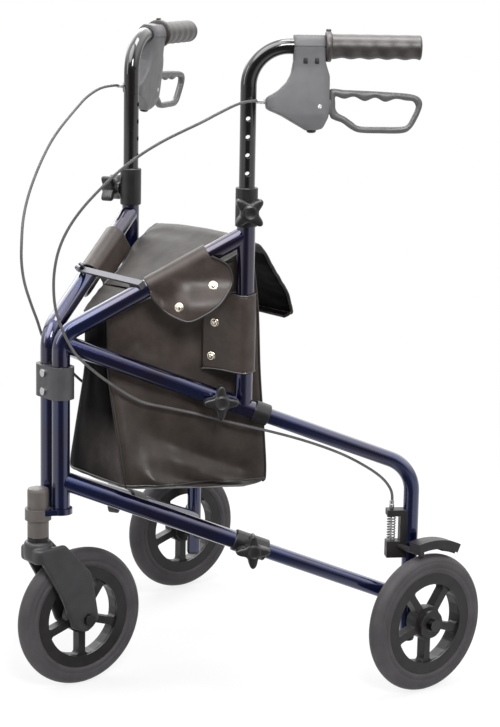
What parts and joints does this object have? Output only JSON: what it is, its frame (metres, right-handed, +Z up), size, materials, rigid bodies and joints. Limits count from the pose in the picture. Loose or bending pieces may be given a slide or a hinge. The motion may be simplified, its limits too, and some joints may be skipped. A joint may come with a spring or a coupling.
{
  "type": "three wheel rollator",
  "caption": "Folding walking frame on rear wheels and a front caster, with height-adjustable hand grips, loop brakes and a carry bag between its side frames.",
  "frame": {"origin": "centre of the bounding box at floor level", "axes": "+Z up, -Y forward over the caster, +X to the left of a person walking behind it"},
  "size_m": [0.6516, 0.5916, 0.933],
  "materials": {
    "frame_blue": "gloss metallic blue paint",
    "handle_black": "gloss black",
    "steel": "zinc plated",
    "fitting_grey": "fine grain",
    "housing_grey": "fine grain",
    "lever_grey": "satin",
    "moulded_black": "satin",
    "fork_grey": "fine grain",
    "tyre": "matte",
    "grip_rubber": "satin",
    "cable_black": "gloss",
    "bag_vinyl": "satin vinyl"
  },
  "bodies": {
    "front_column": {"hinge_clamp": "fitting_grey", "clamp_screws": "steel", "caster_bracket": "frame_blue", "stem_housing": "fitting_grey", "stem_bushes": "moulded_black", "bag": "bag_vinyl"},
    "caster": {"caster_fork": "fork_grey", "caster_stem": "steel", "front_axle": "steel"},
    "front_wheel": {"front_tyre": "tyre", "front_hub": "moulded_black", "front_bearings": "steel"},
    "lock_bar": {"lock_bar": "steel"},
    "bag_lid": {"bag_lid": "bag_vinyl"},
    "left_frame": {"left_post_tube": "frame_blue", "left_leg_tube": "frame_blue", "left_brace_tube": "frame_blue", "left_upright_tube": "frame_blue", "left_rear_leg_tube": "frame_blue", "left_rear_brace_tube": "frame_blue", "left_tube_fittings": "fitting_grey", "left_rear_axle": "steel", "left_brake_bracket": "moulded_black", "left_brake_spring": "steel", "left_brake_cable": "cable_black", "left_bag_flap": "bag_vinyl"},
    "left_brake_arm": {"left_brake_arm": "moulded_black"},
    "left_wheel": {"left_tyre": "tyre", "left_hub": "moulded_black", "left_bearings": "steel"},
    "left_handle": {"left_handle_tube": "handle_black", "left_grip": "grip_rubber", "left_brake_housing": "housing_grey"},
    "left_brake_lever": {"left_brake_lever": "lever_grey"},
    "left_height_knob": {"left_height_knob": "fitting_grey"},
    "left_leg_knob": {"left_leg_knob": "fitting_grey"},
    "left_brace_knob": {"left_brace_knob": "fitting_grey"},
    "right_frame": {"right_post_tube": "frame_blue", "right_leg_tube": "frame_blue", "right_brace_tube": "frame_blue", "right_upright_tube": "frame_blue", "right_rear_leg_tube": "frame_blue", "right_rear_brace_tube": "frame_blue", "right_tube_fittings": "fitting_grey", "right_rear_axle": "steel", "right_brake_bracket": "moulded_black", "right_brake_spring": "steel", "right_brake_cable": "cable_black", "right_bag_flap": "bag_vinyl"},
    "right_brake_arm": {"right_brake_arm": "moulded_black"},
    "right_wheel": {"right_tyre": "tyre", "right_hub": "moulded_black", "right_bearings": "steel"},
    "right_handle": {"right_handle_tube": "handle_black", "right_grip": "grip_rubber", "right_brake_housing": "housing_grey"},
    "right_brake_lever": {"right_brake_lever": "lever_grey"},
    "right_height_knob": {"right_height_knob": "fitting_grey"},
    "right_leg_knob": {"right_leg_knob": "fitting_grey"},
    "right_brace_knob": {"right_brace_knob": "fitting_grey"}
  },
  "joints": [
    {"name": "left_fold", "type": "hinge", "parent": "front_column", "child": "left_frame", "pos_m": [0.015, -0.23632, 0.45], "axis": [0, 0, 1], "range_deg": [0, 25], "deforming": ["bag", "bag_lid"]},
    {"name": "right_fold", "type": "hinge", "parent": "front_column", "child": "right_frame", "pos_m": [-0.015, -0.23632, 0.45], "axis": [0, 0, 1], "range_deg": [-25, 0]},
    {"name": "lock_bar_lift", "type": "hinge", "parent": "right_frame", "child": "lock_bar", "pos_m": [-0.07, -0.15157, 0.5909], "axis": [0, -0.8422, -0.5391], "range_deg": [0, 75]},
    {"name": "lid_open", "type": "hinge", "parent": "front_column", "child": "bag_lid", "pos_m": [0, -0.11422, 0.5622], "axis": [1, 0, 0], "range_deg": [0, 50]},
    {"name": "caster_swivel", "type": "hinge", "parent": "front_column", "child": "caster", "pos_m": [0, -0.26432, 0.225], "axis": [0, 0, 1], "continuous": true},
    {"name": "front_wheel_roll", "type": "hinge", "parent": "caster", "child": "front_wheel", "pos_m": [0, -0.19582, 0.1], "axis": [1, 0, 0], "continuous": true},
    {"name": "left_wheel_roll", "type": "hinge", "parent": "left_frame", "child": "left_wheel", "pos_m": [0.3015, 0.19582, 0.1], "axis": [1, 0, 0], "continuous": true},
    {"name": "left_handle_slide", "type": "slide", "parent": "left_frame", "child": "left_handle", "axis": [0, 0, 1], "range_m": [-0.1, 0.025], "deforming": ["left_brake_cable"]},
    {"name": "left_lever_squeeze", "type": "hinge", "parent": "left_handle", "child": "left_brake_lever", "pos_m": [0.20394, 0.05767, 0.83061], "axis": [0.8229, -0.555, 0.1219], "range_deg": [0, 14], "stiffness_Nm_per_rad": 4, "springref_deg": -8.59},
    {"name": "left_brake_turn", "type": "hinge", "parent": "left_frame", "child": "left_brake_arm", "pos_m": [0.2645, 0.17782, 0.20598], "axis": [-1, 0, 0], "range_deg": [0, 5.2]},
    {"name": "left_height_knob_turn", "type": "hinge", "parent": "left_frame", "child": "left_height_knob", "pos_m": [0.14225, -0.01592, 0.688], "axis": [0.866, -0.5, 0], "range_deg": [0, 540]},
    {"name": "left_leg_knob_turn", "type": "hinge", "parent": "left_frame", "child": "left_leg_knob", "pos_m": [0.125, -0.0458, 0.42306], "axis": [0.866, -0.5, 0], "range_deg": [0, 540]},
    {"name": "left_brace_knob_turn", "type": "hinge", "parent": "left_frame", "child": "left_brace_knob", "pos_m": [0.149, -0.00423, 0.20939], "axis": [0.866, -0.5, 0], "range_deg": [0, 540]},
    {"name": "right_wheel_roll", "type": "hinge", "parent": "right_frame", "child": "right_wheel", "pos_m": [-0.3015, 0.19582, 0.1], "axis": [1, 0, 0], "continuous": true},
    {"name": "right_handle_slide", "type": "slide", "parent": "right_frame", "child": "right_handle", "axis": [0, 0, 1], "range_m": [-0.1, 0.025], "deforming": ["right_brake_cable"]},
    {"name": "right_lever_squeeze", "type": "hinge", "parent": "right_handle", "child": "right_brake_lever", "pos_m": [-0.20394, 0.05767, 0.83061], "axis": [0.8229, 0.555, -0.1219], "range_deg": [0, 14], "stiffness_Nm_per_rad": 4, "springref_deg": -8.59},
    {"name": "right_brake_turn", "type": "hinge", "parent": "right_frame", "child": "right_brake_arm", "pos_m": [-0.2645, 0.17782, 0.20598], "axis": [-1, 0, 0], "range_deg": [0, 5.2]},
    {"name": "right_height_knob_turn", "type": "hinge", "parent": "right_frame", "child": "right_height_knob", "pos_m": [-0.14225, -0.01592, 0.688], "axis": [-0.866, -0.5, 0], "range_deg": [0, 540]},
    {"name": "right_leg_knob_turn", "type": "hinge", "parent": "right_frame", "child": "right_leg_knob", "pos_m": [-0.125, -0.0458, 0.42306], "axis": [-0.866, -0.5, 0], "range_deg": [0, 540]},
    {"name": "right_brace_knob_turn", "type": "hinge", "parent": "right_frame", "child": "right_brace_knob", "pos_m": [-0.149, -0.00423, 0.20939], "axis": [-0.866, -0.5, 0], "range_deg": [0, 540]}
  ],
  "couplings": [
    {"joint": "right_fold", "follows": "left_fold", "ratio": -1},
    {"joint": "lock_bar_lift", "follows": "left_fold", "ratio": 3},
    {"joint": "left_brake_turn", "follows": "left_lever_squeeze", "ratio": 0.37143},
    {"joint": "right_brake_turn", "follows": "right_lever_squeeze", "ratio": 0.37143}
  ]
}
